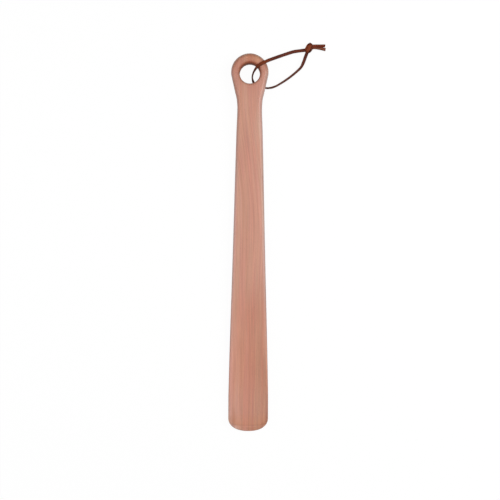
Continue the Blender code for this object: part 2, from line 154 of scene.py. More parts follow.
# The lace's middle line from the knot, over the ring, through the eye, under the neck and back to the knot:
# places from the eye's axis, and the way the strip's smooth side faces there
LACE_STATIONS = (
    ((0.0612, 0.0275, 0.0047), (0.0, 0.0, 1.0)),
    ((0.0593, 0.0269, 0.0048), (0.0, 0.1, 1.0)),
    ((0.0531, 0.0258, 0.0057), (0.0, 0.1, 1.0)),
    ((0.0463, 0.0244, 0.0070), (0.1, 0.0, 1.0)),
    ((0.0408, 0.0224, 0.0083), (0.1, -0.1, 1.0)),
    ((0.0326, 0.0190, 0.0105), (0.1, -0.1, 1.0)),
    ((0.0246, 0.0155, 0.0130), (0.1, 0.0, 1.0)),
    ((0.0216, 0.0141, 0.0140), (0.1, 0.0, 1.0)),
    ((0.0192, 0.0130, 0.0148), (0.1, 0.0, 1.0)),
    ((0.0170, 0.0119, 0.0152), (0.0, 0.0, 1.0)),
    ((0.0138, 0.0105, 0.0154), (-0.1, 0.0, 1.0)),
    ((0.0105, 0.0085, 0.0155), (-0.3, 0.1, 1.0)),
    ((0.0078, 0.0064, 0.0146), (-0.6, 0.3, 0.8)),
    ((0.0050, 0.0035, 0.0114), (-0.75, 0.4, 0.45)),
    ((0.0032, 0.0002, 0.0080), (-0.95, 0.2, 0.15)),
    ((0.0027, -0.0032, 0.0049), (-1.0, 0.0, 0.12)),
    ((0.0040, -0.0073, 0.0027), (-0.88, -0.35, 0.45)),
    ((0.0066, -0.0104, 0.0019), (-0.6, -0.8, 0.1)),
    ((0.0108, -0.0122, 0.0018), (-0.25, -1.0, 0.0)),
    ((0.0162, -0.0129, 0.0018), (-0.1, -1.0, 0.0)),
    ((0.0192, -0.0131, 0.0018), (0.0, -1.0, 0.0)),
    ((0.0217, -0.0128, 0.0018), (0.1, -1.0, 0.05)),
    ((0.0243, -0.0123, 0.0019), (0.2, -0.95, 0.1)),
    ((0.0291, -0.0103, 0.0020), (0.4, -0.9, 0.08)),
    ((0.0359, -0.0062, 0.0022), (0.5, -0.8, 0.16)),
    ((0.0426, -0.0016, 0.0025), (0.55, -0.75, 0.22)),
    ((0.0494, 0.0040, 0.0028), (0.62, -0.65, 0.27)),
    ((0.0543, 0.0088, 0.0031), (0.7, -0.5, 0.45)),
    ((0.0568, 0.0136, 0.0035), (0.55, -0.25, 0.8)),
    ((0.0588, 0.0191, 0.0040), (0.3, -0.1, 0.95)),
    ((0.0605, 0.0237, 0.0043), (0.2, -0.1, 1.0)),
    ((0.0612, 0.0262, 0.0043), (0.2, -0.1, 1.0)),
)

# The overhand knot: places from its centre, the way the smooth side faces, and how much its two ends lie
# side by side. They turn back over the top, cross the front, wrap round below and leave to the right.
KNOT_TURNS = (
    ((0.0004, 0.0014, -0.0006), (0.0, 0.0, 1.0), 0.9),
    ((0.0014, 0.0033, -0.0008), (-0.1, -0.2, 1.0), 0.4),
    ((0.0017, 0.0043, 0.0002), (-0.5, -0.85, 0.2), 0.15),
    ((0.0011, 0.0038, 0.0015), (-0.3, -0.5, -0.8), 0.3),
    ((0.0001, 0.0019, 0.0023), (0.0, 0.0, -1.0), 0.8),
    ((-0.0013, -0.0008, 0.0024), (0.0, 0.0, -1.0), 0.9),
    ((-0.0023, -0.0027, 0.0016), (0.2, 0.3, -0.9), 0.7),
    ((-0.0025, -0.0033, 0.0000), (0.6, 0.8, 0.0), 0.5),
    ((-0.0018, -0.0029, -0.0015), (0.2, 0.3, 0.9), 0.6),
    ((-0.0007, -0.0020, -0.0022), (0.0, 0.0, 1.0), 0.7),
    ((0.0004, -0.0015, -0.0020), (0.0, 0.0, 1.0), 0.7),
    ((0.0012, -0.0008, -0.0013), (-0.3, 0.2, 1.0), 0.6),
    ((0.0019, 0.0000, -0.0005), (-0.2, 0.0, 1.0), 0.5),
)
KNOT_STACK = 0.00062  # the two ends lie on each other, this far above and below their middle line
KNOT_SIDESTEP = 0.0012  # and as much as this to either side of it

# The two ends of the lace: the name, the side in the knot as 1 for outside and -1 for inside, the first
# stop, the stations into the knot and those out of it
KNOT_ENDS = (
    ("lace_end_upper", 1, 3.001, (
        ((0.0588, 0.0267, 0.0047), (0.0, 0.1, 1.0)),
        ((0.0606, 0.0275, 0.0044), (0.0, 0.0, 1.0)),
    ), (
        ((0.0660, 0.0307, 0.0047), (0.0, -0.4, 0.9)),
        ((0.0690, 0.0312, 0.0045), (0.0, -0.8, 0.7)),
        ((0.0735, 0.0315, 0.0041), (0.0, -0.9, 0.5)),
        ((0.0772, 0.0317, 0.0038), (0.0, -0.9, 0.45)),
        ((0.0799, 0.0318, 0.0036), (0.0, -0.9, 0.45)),
    )),
    ("lace_end_lower", -1, 5.0016, (
        ((0.0602, 0.0230, 0.0042), (0.25, -0.1, 1.0)),
        ((0.0610, 0.0255, 0.0036), (0.3, -0.1, 1.0)),
    ), (
        ((0.0660, 0.0299, 0.0030), (0.0, 0.1, 1.0)),
        ((0.0690, 0.0302, 0.0026), (0.0, 0.3, 1.0)),
        ((0.0735, 0.0298, 0.0021), (0.0, 0.4, 1.0)),
        ((0.0772, 0.0291, 0.0017), (0.0, 0.4, 1.0)),
        ((0.0806, 0.0285, 0.0014), (0.0, 0.3, 1.0)),
    )),
)

# Light: softboxes, as name, place, side and share of the light that falls on a level surface
SOFTBOXES = (
    ("key", (0.78, 0.10, 0.82), 0.75, 0.40),
    ("fill", (-0.80, 0.05, 0.70), 0.80, 0.18),
    ("overhead", (0.0, 0.05, 1.30), 1.20, 0.28),
)
SKY_SHARE = 0.14
FLOOR_HALF_SIDE = 3.0
FLOOR_DROP = 0.00005
FLOOR_ALBEDO = 0.60
FLOOR_GLOW = 0.95  # the part of the floor's white that no shadow takes away
FLOOR_SHADED = 0.06  # and the part that follows the light on it


# Shapes shared with the solid

def smooth_curve(stations):
    """A curve through (place, value) stations that never swings past them, as a function."""
    places = [place for place, _ in stations]
    values = [value for _, value in stations]
    steps = [b - a for a, b in zip(places, places[1:])]
    rises = [(b - a) / step for a, b, step in zip(values, values[1:], steps)]
    slopes = [rises[0]]
    for (before, after), (step_before, step_after) in zip(zip(rises, rises[1:]), zip(steps, steps[1:])):
        if before * after <= 0:
            slopes.append(0.0)
        else:
            weight_before = 2 * step_after + step_before
            weight_after = step_after + 2 * step_before
            slopes.append((weight_before + weight_after) / (weight_before / before + weight_after / after))
    slopes.append(rises[-1])

    def value_at(place):
        place = min(max(place, places[0]), places[-1])
        index = min(sum(place > other for other in places[1:-1]), len(steps) - 1)
        t = (place - places[index]) / steps[index]
        return (
            (2 * t**3 - 3 * t**2 + 1) * values[index]
            + (t**3 - 2 * t**2 + t) * steps[index] * slopes[index]
            + (3 * t**2 - 2 * t**3) * values[index + 1]
            + (t**3 - t**2) * steps[index] * slopes[index + 1]
        )

    return value_at


def share(value, start, end):
    """0 before start, 1 after end, and a smooth step between them."""
    t = min(max((value - start) / (end - start), 0.0), 1.0)
    return t * t * (3 - 2 * t)


side_line = smooth_curve((
    (RING_ARC_LENGTH, math.sqrt(RING_OUTER_RADIUS**2 - (RING_ARC_LENGTH - RING_OUTER_RADIUS) ** 2)),
    (SHOULDER_DISTANCE, SHOULDER_WIDTH / 2),
    (NECK_DISTANCE, NECK_WIDTH / 2),
    (WAIST_DISTANCE, WAIST_WIDTH / 2),
    (HANDLE_DISTANCE, HANDLE_WIDTH / 2),
    (GRIP_DISTANCE, GRIP_WIDTH / 2),
    (HORN_LENGTH - BLADE_SHOULDER_SETBACK, BLADE_SHOULDER_WIDTH / 2),
    (HORN_LENGTH - BLADE_WIDE_SETBACK, BLADE_WIDTH / 2),
    (HORN_LENGTH, BLADE_WIDTH / 2),
))

front_line = smooth_curve((
    (0.0, EYE_LIFT + EYE_THICKNESS),
    (EYE_FLAT_LENGTH, EYE_LIFT + EYE_THICKNESS),
    (LAND_DISTANCE, HANDLE_THICKNESS),
    (GRIP_DISTANCE, GRIP_THICKNESS),
    (HOLLOW_START, HOLLOW_START_THICKNESS),
    (LAND_END, BLADE_THICKNESS),
    (HORN_LENGTH, TIP_FRONT_HEIGHT),
))

hollow_line = smooth_curve((
    (HOLLOW_START, HOLLOW_START_THICKNESS + HOLLOW_RUN_OUT),
    (HORN_LENGTH - HOLLOW_SLOPE_SETBACK, HOLLOW_SLOPE_WALL),
    (HORN_LENGTH - HOLLOW_DEEP_SETBACK, HOLLOW_WALL),
    (HORN_LENGTH, TIP_LIFT + TIP_WALL),
))

back_rise_line = smooth_curve((
    (EYE_FLAT_LENGTH, 0.0),
    (LAND_DISTANCE, HANDLE_BACK_RISE),
    (HOLLOW_START, HANDLE_BACK_RISE),
    (LAND_END, BLADE_BACK_RISE),
    (HORN_LENGTH, TIP_BACK_RISE),
))

edge_rounding_line = smooth_curve((
    (0.0, RING_EDGE_ROUNDING),
    (EYE_FLAT_LENGTH, RING_EDGE_ROUNDING),
    (LAND_DISTANCE, HANDLE_EDGE_ROUNDING),
    (GRIP_DISTANCE, GRIP_EDGE_ROUNDING),
    (HORN_LENGTH - HOLLOW_SLOPE_SETBACK, RIM_EDGE_ROUNDING),
    (HORN_LENGTH, TIP_EDGE_ROUNDING),
))


def half_width(distance):
    """Half of the horn's width at a distance from its eye end."""
    if distance < RING_ARC_LENGTH:
        return math.sqrt(max(RING_OUTER_RADIUS**2 - (RING_OUTER_RADIUS - distance) ** 2, 0.0))
    if distance < TIP_ARC_START:
        return side_line(distance)
    t = min((distance - TIP_ARC_START) / TIP_ARC_LENGTH, 1.0)
    return side_line(distance) * (1 - t**TIP_ARC_POWER) ** (1 / TIP_ARC_POWER)


def outline_samples():
    """Points along one side of the outline, as (distance, half width), close together at both ends."""
    turns = np.linspace(0.0, math.pi, OUTLINE_SAMPLES)
    distances = [HORN_LENGTH * (1 - math.cos(turn)) / 2 for turn in turns]
    return np.array([(distance, half_width(distance)) for distance in distances])


OUTLINE = outline_samples()
OUTLINE_SPANS = OUTLINE[1:] - OUTLINE[:-1]
OUTLINE_SQUARES = (OUTLINE_SPANS**2).sum(axis=1)


def edge_distance(x, distance):
    """How far a point inside the horn's outline lies from it."""
    offsets = np.array((distance, abs(x))) - OUTLINE[:-1]
    along = np.clip((offsets * OUTLINE_SPANS).sum(axis=1) / OUTLINE_SQUARES, 0.0, 1.0)
    return math.sqrt(((OUTLINE_SPANS * along[:, None] - offsets) ** 2).sum(axis=1).min())


def rounded(edge, rounding):
    """0 at an edge, rising as a quarter circle to 1 at the rounding's width."""
    return math.sqrt(1 - (1 - min(edge / rounding, 1.0)) ** 2)


def soft_lower(first, second, softness):
    """The lower of two heights, with the crease between them rounded."""
    blend = max(softness - abs(first - second), 0.0) / softness
    return min(first, second) - blend * blend * softness / 4


def faces_of_horn(x, distance):
    """Heights of the front and the back of the horn before its edges are rounded."""
    side = side_line(distance)
    crown = FRONT_CROWN * share(distance, EYE_FLAT_LENGTH, LAND_DISTANCE)
    front = front_line(distance) - crown * (x / side) ** 2
    if distance > HOLLOW_START:
        hollow = hollow_line(distance) + x * x / (2 * HOLLOW_RADIUS)
        front = soft_lower(front, hollow, CREASE_SOFTNESS)
    from_land = min(max((LAND_DISTANCE - distance) / (LAND_DISTANCE - EYE_FLAT_LENGTH), 0.0), 1.0)
    lift = EYE_LIFT * math.sin(from_land * math.pi / 2)
    past_land = max((distance - LAND_END) / LAND_SETBACK, 0.0)
    tip_lift = TIP_LIFT * (past_land + TIP_LIFT_BEND * (past_land**2 - past_land))
    outside_land = max(abs(x) - HALF_LAND, 0.0) / (side - HALF_LAND)
    back = lift + tip_lift + back_rise_line(distance) * outside_land**BACK_RISE_POWER
    return front, back


def heights(x, distance):
    """Heights of the front and the back of the finished horn."""
    front, back = faces_of_horn(x, distance)
    edge = edge_distance(x, distance)
    near_tip = share(distance, TIP_ARC_START - TIP_BEVEL_WIDTH, TIP_ARC_START + TIP_BEVEL_WIDTH)
    front -= TIP_BEVEL_DEPTH * near_tip * max(1 - edge / TIP_BEVEL_WIDTH, 0.0)
    fullness = rounded(edge, edge_rounding_line(distance))
    eye_edge = 0.0
    if distance < EYE_FLAT_LENGTH:
        from_eye = max(math.hypot(x, distance - EYE_DISTANCE) - EYE_RADIUS, 0.0)
        eye_edge = EYE_EDGE_ROUNDING * (1 - rounded(from_eye, EYE_EDGE_ROUNDING))
    middle = (front + back) / 2
    return middle + (front - middle) * fullness - eye_edge, middle + (back - middle) * fullness + eye_edge


def columns(distance):
    """Places across the horn, left to right: evenly over the land, and closer together near its sides."""
    half = half_width(distance)
    land = min(HALF_LAND, half * NARROW_LAND_SHARE)
    inner = [float(x) for x in np.linspace(-land, land, LAND_COLUMNS)]
    turns = [math.pi / 2 * step / COLUMNS_PER_SIDE for step in range(1, COLUMNS_PER_SIDE + 1)]
    right = [land + (half - land) * math.sin(turn) for turn in turns]
    return [-x for x in reversed(right)] + inner + right


def rows():
    """Distances of the horn's rows beyond its ring, in order."""
    neck = np.linspace(EYE_FLAT_LENGTH, LAND_DISTANCE, NECK_ROWS, endpoint=False)
    handle = np.linspace(LAND_DISTANCE, HOLLOW_START, HANDLE_ROWS, endpoint=False)
    blade = np.linspace(HOLLOW_START, TIP_ARC_START, BLADE_ROWS, endpoint=False)
    turns = np.linspace(0.0, math.pi / 2, TIP_ROWS, endpoint=False)
    tip = [TIP_ARC_START + TIP_ARC_LENGTH * math.sin(turn) for turn in turns]
    return [float(distance) for distance in (*neck, *handle, *blade, *tip)]


def outline_radius(angle):
    """Distance from the eye's axis to the horn's outline, at an angle from +X."""
    low, high = EYE_RADIUS, 2 * HORN_LENGTH
    for _ in range(OUTLINE_HALVINGS):
        radius = (low + high) / 2
        distance = EYE_DISTANCE - radius * math.sin(angle)
        inside = distance > 0 and abs(radius * math.cos(angle)) < half_width(distance)
        low, high = (radius, high) if inside else (low, radius)
    return low


def new_object(name, mesh, material):
    """A smooth mesh object with one material."""
    data = bpy.data.meshes.new(name)
    mesh.to_mesh(data)
    mesh.free()
    data.materials.append(material)
    data.shade_smooth()
    made = bpy.data.objects.new(name, data)
    bpy.context.scene.collection.objects.link(made)
    return made


class HornMesh:
    """The mesh of the horn. Each of its vertices knows how far it lies from the horn's outline."""

    def __init__(self):
        self.mesh = bmesh.new()
        self.edge_layer = self.mesh.verts.layers.float.new("edge")

    def vertex(self, x, distance, height):
        made = self.mesh.verts.new((x, HORN_LENGTH / 2 - distance, height))
        made[self.edge_layer] = edge_distance(x, distance)
        return made

    def face(self, *corners):
        """A face between its corners, where a corner given twice counts once."""
        self.mesh.faces.new(list(dict.fromkeys(corners)))


def add_row(horn, distance):
    """A closed ring of vertices: the front from left to right, then the back from right to left."""
    places = columns(distance)
    pairs = [heights(x, distance) for x in places]
    tops = [horn.vertex(x, distance, top) for x, (top, _) in zip(places, pairs)]
    bottoms = [horn.vertex(x, distance, low) for x, (_, low) in zip(places[1:-1], pairs[1:-1])]
    return tops + bottoms[::-1]


def add_stem(horn):
    """The neck, the handle and the blade with its tip. Returns their first row, next to the ring."""
    row_rings = [add_row(horn, distance) for distance in rows()]
    for first, second in zip(row_rings, row_rings[1:]):
        for a, b, c, d in zip(second, second[1:] + second[:1], first[1:] + first[:1], first):
            horn.face(a, b, c, d)
    front, back = heights(0.0, HORN_LENGTH)
    tip = horn.vertex(0.0, HORN_LENGTH, (front + back) / 2)
    last = row_rings[-1]
    for a, b in zip(last, last[1:] + last[:1]):
        horn.face(b, a, tip)
    return row_rings[0]


def spoke_ends(first_row):
    """Where each spoke of the ring ends: on the first row, from left to right, then along the outline.

    Each is a place, and the two vertices of the first row there, or None twice.
    """
    places = columns(EYE_FLAT_LENGTH)
    tops = first_row[: len(places)]
    bottoms = [tops[0]] + first_row[len(places):][::-1] + [tops[-1]]
    ends = [(x, EYE_FLAT_LENGTH, top, bottom) for x, top, bottom in zip(places, tops, bottoms)]
    corner = math.atan2(EYE_DISTANCE - EYE_FLAT_LENGTH, places[-1])
    for step in range(1, RING_SPOKES):
        angle = corner + (math.pi - 2 * corner) * step / RING_SPOKES
        radius = outline_radius(angle)
        ends.append((radius * math.cos(angle), EYE_DISTANCE - radius * math.sin(angle), None, None))
    return ends


def add_spoke(horn, x, distance, top, bottom):
    """The vertices of one spoke over the front and under the back, from the eye's wall to its end."""
    reach = math.hypot(x, distance - EYE_DISTANCE)
    fronts, backs = [], []
    for step in range(RING_STEPS + 1):
        t = (1 - math.cos(math.pi * step / RING_STEPS)) / 2
        radius = EYE_RADIUS + (reach - EYE_RADIUS) * t
        place = (x * radius / reach, EYE_DISTANCE + (distance - EYE_DISTANCE) * radius / reach)
        high, low = heights(*place)
        if step < RING_STEPS:
            fronts.append(horn.vertex(*place, high))
            backs.append(horn.vertex(*place, low))
        elif top is None:
            shared = horn.vertex(*place, (high + low) / 2)
            fronts.append(shared)
            backs.append(shared)
        else:
            fronts.append(top)
            backs.append(bottom)
    return fronts, backs


def add_ring(horn, first_row):
    """The ring, in spokes round its eye."""
    spokes = [add_spoke(horn, *end) for end in spoke_ends(first_row)]
    for (fronts, backs), (next_fronts, next_backs) in zip(spokes, spokes[1:] + spokes[:1]):
        horn.face(backs[0], fronts[0], next_fronts[0], next_backs[0])
        for step in range(RING_STEPS):
            horn.face(fronts[step], fronts[step + 1], next_fronts[step + 1], next_fronts[step])
            horn.face(backs[step + 1], backs[step], next_backs[step], next_backs[step + 1])


def make_horn(material):
    horn = HornMesh()
    add_ring(horn, add_stem(horn))
    bmesh.ops.recalc_face_normals(horn.mesh, faces=horn.mesh.faces)
    return new_object("horn_wood", horn.mesh, material)


# Flat leather strip

def evenly_along(stations, spacing):
    """Rows of place and facing, evenly spaced along one smooth curve through stations of six numbers."""
    ends = np.vstack((2 * stations[0] - stations[1], stations, 2 * stations[-1] - stations[-2]))
    dense = []
    for before, start, end, after in zip(ends, ends[1:], ends[2:], ends[3:]):
        for t in np.linspace(0.0, 1.0, CURVE_STEPS, endpoint=False):
            dense.append(0.5 * (
                2 * start
                + (end - before) * t
                + (2 * before - 5 * start + 4 * end - after) * t**2
                + (3 * start - before - 3 * end + after) * t**3
            ))
    dense.append(stations[-1])
    dense = np.array(dense)
    lengths = np.concatenate(([0.0], np.cumsum(np.linalg.norm(np.diff(dense[:, :3], axis=0), axis=1))))
    stops = np.linspace(0.0, lengths[-1], round(lengths[-1] / spacing) + 1)
    return np.stack([np.interp(stops, lengths, column) for column in dense.T], axis=1), stops


def strip_section():
    """Points round the section of the strip, as places across and up from its middle."""
    corners = ((1, 1), (-1, 1), (-1, -1), (1, -1))
    points = []
    for number, (right, up) in enumerate(corners):
        for step in range(STRIP_CORNER_STEPS + 1):
            turn = math.pi / 2 * (number + step / STRIP_CORNER_STEPS)
            points.append((
                right * (STRIP_WIDTH / 2 - STRIP_ROUNDING) + STRIP_ROUNDING * math.cos(turn),
                up * (STRIP_THICKNESS / 2 - STRIP_ROUNDING) + STRIP_ROUNDING * math.sin(turn),
            ))
        # The broad face that follows this corner
        if up == right:
            points += [(right * STRIP_WIDTH * part, up * STRIP_THICKNESS / 2) for part in STRIP_FACE_SHARES]
    return points


def make_strip(name, line, stops, material, first_stop=0.0):
    """A flat strip along a line of places and facings, with its own coordinates on its vertices."""
    section = strip_section()
    mesh = bmesh.new()
    strip_layer = mesh.verts.layers.float_vector.new("strip")
    places, facings = line[:, :3], line[:, 3:]
    tangents = np.gradient(places, axis=0)
    tangents /= np.linalg.norm(tangents, axis=1)[:, None]
    facings = facings - (facings * tangents).sum(axis=1)[:, None] * tangents
    facings /= np.linalg.norm(facings, axis=1)[:, None]
    widths = np.cross(tangents, facings)
    rings = []
    for place, facing, wide, stop in zip(places, facings, widths, stops):
        waver = noise.noise(Vector((stop * WAVERS_PER_METRE + first_stop, first_stop, 0.0)))
        lift = noise.noise(Vector((stop * LIFTS_PER_METRE + first_stop, LIFT_ROW, first_stop)))
        ring = []
        for across, up in section:
            sideways = wide * (across * (1 + STRIP_WAVER * waver))
            vertex = mesh.verts.new(place + sideways + facing * (up + STRIP_LIFT * lift))
            vertex[strip_layer] = (stop + first_stop, across, up)
            ring.append(vertex)
        rings.append(ring)
    for first, second in zip(rings, rings[1:]):
        for a, b, c, d in zip(first, first[1:] + first[:1], second[1:] + second[:1], second):
            mesh.faces.new((a, b, c, d))
    mesh.faces.new(rings[0][::-1])
    mesh.faces.new(rings[-1])
    bmesh.ops.recalc_face_normals(mesh, faces=mesh.faces)
    made = new_object(name, mesh, material)
    # Its two cut ends are flat
    for polygon in made.data.polygons:
        if len(polygon.vertices) > 4:
            polygon.use_smooth = False
    return made


def at_eye(stations):
    """Stations given from the eye's axis, as rows of six numbers in the model's frame."""
    rows_of_six = np.array([(*place, *facing) for place, facing in stations])
    rows_of_six[:, 1] += EYE_Y
    return rows_of_six


def make_lace(material):
    """The lace from knot to knot."""
    line, stops = evenly_along(at_eye(LACE_STATIONS), STRIP_SPACING)
    lace = make_strip("leather_lace", line, stops, material)
    return lace, line


def knot_line(entry, tail, side):
    """The stations of one end of the lace, into the knot, through it and along its tail."""
    turns = np.array([(*place, *facing) for place, facing, _ in KNOT_TURNS])
    apart = np.array([side_by_side for _, _, side_by_side in KNOT_TURNS])[:, None]
    turns[:, :3] += KNOT_CENTRE
    headings = np.gradient(turns[:, :3], axis=0)
    headings /= np.linalg.norm(headings, axis=1)[:, None]
    facings = turns[:, 3:] / np.linalg.norm(turns[:, 3:], axis=1)[:, None]
    outward = -facings
    outward[0] = facings[0]
    sideways = np.cross(headings, facings)
    turns[:, :3] += (outward * KNOT_STACK + sideways * KNOT_SIDESTEP * apart) * side
    turns[:, 1] += EYE_Y
    return np.vstack((at_eye(entry), turns, at_eye(tail)))


def make_knot(material):
    """The two ends of the lace, tied together in one overhand knot and cut square past it."""
    ends = []
    for name, side, first_stop, entry, tail in KNOT_ENDS:
        line, stops = evenly_along(knot_line(entry, tail, side), KNOT_SPACING)
        ends.append(make_strip(name, line, stops, material, first_stop))
    return ends


# Materials

class Graph:
    """Adds and links the nodes of a material or of the world."""

    def __init__(self, owner):
        owner.use_nodes = True
        self.nodes = owner.node_tree.nodes
        self.links = owner.node_tree.links

    def put(self, socket, value):
        """Sets a socket to a number, vector or colour of three numbers, or links it to another socket."""
        if isinstance(value, bpy.types.NodeSocket):
            self.links.new(value, socket)
        elif socket.type == "RGBA":
            socket.default_value = (*value, 1.0)
        else:
            socket.default_value = value

    def node(self, kind, inputs=(), **settings):
        made = self.nodes.new(kind)
        for key, value in settings.items():
            setattr(made, key, value)
        for key, value in dict(inputs).items():
            self.put(made.inputs[key], value)
        return made

    def maths(self, operation, first, second=0.0, third=0.0):
        return self.node("ShaderNodeMath", {0: first, 1: second, 2: third}, operation=operation).outputs[0]

    def product(self, first, *others):
        for other in others:
            first = self.maths("MULTIPLY", first, other)
        return first

    def vector_maths(self, operation, first, second, result=0):
        return self.node("ShaderNodeVectorMath", {0: first, 1: second}, operation=operation).outputs[result]

    def distance(self, vector, place):
        return self.vector_maths("DISTANCE", vector, place, "Value")

    def separated(self, vector):
        """The three numbers of a vector."""
        return self.node("ShaderNodeSeparateXYZ", {0: vector}).outputs

    def noises(self, vector, rows_of_noises):
        """The noises of a table, by their names."""
        made = {}
        for name, scale, detail, roughness in rows_of_noises:
            stretched = self.vector_maths("MULTIPLY", vector, scale)
            inputs = {"Vector": stretched, "Scale": 1.0, "Detail": detail, "Roughness": roughness}
            made[name] = self.node("ShaderNodeTexNoise", inputs).outputs["Fac"]
        return made

    def spread(self, value, start, end, to_start=0.0, to_end=1.0, smooth=False):
        """Goes from to_start to to_end while the value goes from start to end."""
        made = self.node("ShaderNodeMapRange", {0: value, 1: start, 2: end, 3: to_start, 4: to_end})
        made.interpolation_type = "SMOOTHSTEP" if smooth else "LINEAR"
        return made.outputs[0]

    def mixed(self, amount, first, second, blend="MIX"):
        made = self.nodes.new("ShaderNodeMix")
        made.data_type = "RGBA"
        made.blend_type = blend
        self.put(made.inputs[0], amount)
        self.put(made.inputs[6], first)
        self.put(made.inputs[7], second)
        return made.outputs[2]

    def tinted(self, colour, amount, tint):
        """A colour, multiplied by a tint as far as the amount says."""
        return self.mixed(amount, colour, tint, "MULTIPLY")

    def finish_shader(self, colour, roughness, specular, relief, strength, height):
        """Links all that a material's shader needs."""
        bump = self.node("ShaderNodeBump", {"Height": relief, "Strength": strength, "Distance": height})
        shader = self.nodes["Principled BSDF"]
        self.put(shader.inputs["Base Color"], colour)
        self.put(shader.inputs["Roughness"], roughness)
        self.put(shader.inputs["Specular IOR Level"], specular)
        self.put(shader.inputs["Normal"], bump.outputs[0])


# Nearly all values of a noise lie between these
NOISE_RANGE = (0.3, 0.7)


# Wood

# Its colours, and its noises as rows of name, scale along each axis, detail and roughness
LATE_WOOD = (0.552, 0.238, 0.160)
ROSE_WOOD = (0.582, 0.266, 0.184)
PALE_WOOD = (0.610, 0.302, 0.214)
COOL_TINT = (1.02, 0.965, 0.98)
WARM_TINT = (1.00, 1.035, 0.98)
WOOD_NOISES = (
    ("broad", (110.0, 3.2, 30.0), 1.5, 0.5),
    ("growth", (480.0, 8.0, 60.0), 2.0, 0.5),
    ("hue", (290.0, 9.0, 90.0), 2.0, 0.5),
    ("fine", (950.0, 20.0, 260.0), 2.0, 0.5),
    ("fibre", (5200.0, 130.0, 1800.0), 1.0, 0.5),
    ("pores", (3600.0, 420.0, 2400.0), 0.0, 0.5),
)
BROAD_WEIGHT = 0.4
GROWTH_WEIGHT = 0.6
LATE_TO_ROSE = (0.36, 0.50)
ROSE_TO_PALE = (0.50, 0.64)
COOL_TO_WARM = (0.38, 0.62)
FINE_LIGHT = (0.90, 1.10)
FIBRE_LIGHT = (0.97, 1.03)
PORES = (0.68, 0.76)
PORE_LIGHT = (1.0, 0.86)
SWAY_NOISES = (("sway", (30.0, 11.0, 20.0), 1.0, 0.5),)
SWAY_REACH = 0.006  # how far the grain sways across the horn
LEAN_PLACES = (0.035, 0.165)  # in Y, from where to where the grain leans across the horn
LEAN = (-0.0100, 0.0025)
SATIN_ROUGHNESS = (0.28, 0.40)
EYE_ROUGHNESS = 0.45  # comes on top in the eye
WOOD_SPECULAR = 0.55
FIBRE_RELIEF = 0.6
FINE_RELIEF = 0.8
PORE_RELIEF = (0.0, 0.8)
PORE_HOLLOWS = (0.66, 0.76)
WOOD_RELIEF = (0.35, 0.00006)  # strength and height

# From where its looks start to where they are full, along the horn in Y
# The first six: where the painted sheen along the long edges starts and is full
SHEEN_LEFT_HANDLE = (0.135, 0.100)
SHEEN_LEFT_RING = (0.170, 0.176)
SHEEN_RIGHT_RING = (0.184, 0.176)
SHEEN_RIGHT_BLADE = (-0.150, -0.060)
SHEEN_RING_END = (0.186, 0.178)
SHEEN_WIDENING = (-0.080, -0.170)
HOLLOW_ALONG = (-0.035, -0.080)
END_GRAIN_ALONG = (-0.100, 0.100)
END_GRAIN_RING = (0.175, 0.193)
# Where the painted shade on the sides grows towards the ring and the tip, and where it is less on the
# ring's right limb
SIDES_TO_RING = (0.090, 0.120)
SIDES_TO_TIP = (-0.070, -0.100)
RIGHT_LIMB_ALONG = (0.120, 0.150)
EYE_WALL_ALONG = (-0.010, 0.006)  # from the eye's axis

# The same across the horn in X
SHEEN_ACROSS = (-0.005, 0.005)
HOLLOW_ACROSS = (-0.012, 0.012)
RIGHT_LIMB_ACROSS = (0.008, 0.013)

# The same by other measures
# The first two: how far in from the edge the painted sheen reaches
SHEEN_REACH = (0.0038, 0.0062)  # in from the edge, before and after it widens
SHEEN_CORE = 0.0014  # in from the edge
END_GRAIN_TURN = (0.30, 0.95)  # how squarely the surface faces along the horn
SIDES_TURN = (0.62, 0.20)  # how squarely it faces up or down
EYE_WALL = (EYE_RADIUS + 0.0036, EYE_RADIUS + 0.0004)

# The shares that some of them go between
SHEEN_LEFT_RING_SHARES = (0.0, 0.6)
END_GRAIN_SHARES = (0.25, 0.7)
END_GRAIN_RING_SHARES = (0.0, 0.45)
SIDES_TO_RING_SHARES = (0.6, 0.9)
SIDES_TO_TIP_SHARES = (0.6, 1.0)
RIGHT_LIMB_SHARE = 0.5

# Tints that its colour is multiplied by
# The painted sheen on the left and right edges
SHEEN_LEFT_TINT = (1.08, 1.20, 1.36)
SHEEN_RIGHT_TINT = (0.99, 1.19, 1.36)
# Painted shade in the hollow, on its left and on its right
HOLLOW_LEFT_SHADE = (0.99, 0.91, 0.88)
HOLLOW_RIGHT_SHADE = (0.97, 0.87, 0.81)
END_GRAIN_TINT = (0.82, 0.62, 0.44)
# Painted shade on the steep sides
SIDE_SHADE_TINT = (0.70, 0.80, 0.92)
# Painted shade in the eye: on its handle side, and on its ring end side together with browner end grain
EYE_HANDLE_SHADE = (0.85, 0.93, 0.95)
EYE_END_SHADE_AND_GRAIN = (0.64, 0.44, 0.31)

# The crease of the bevel at the tip, as an arc across the horn
CREASE_Y = -0.1937
CREASE_CURVE = 6.0

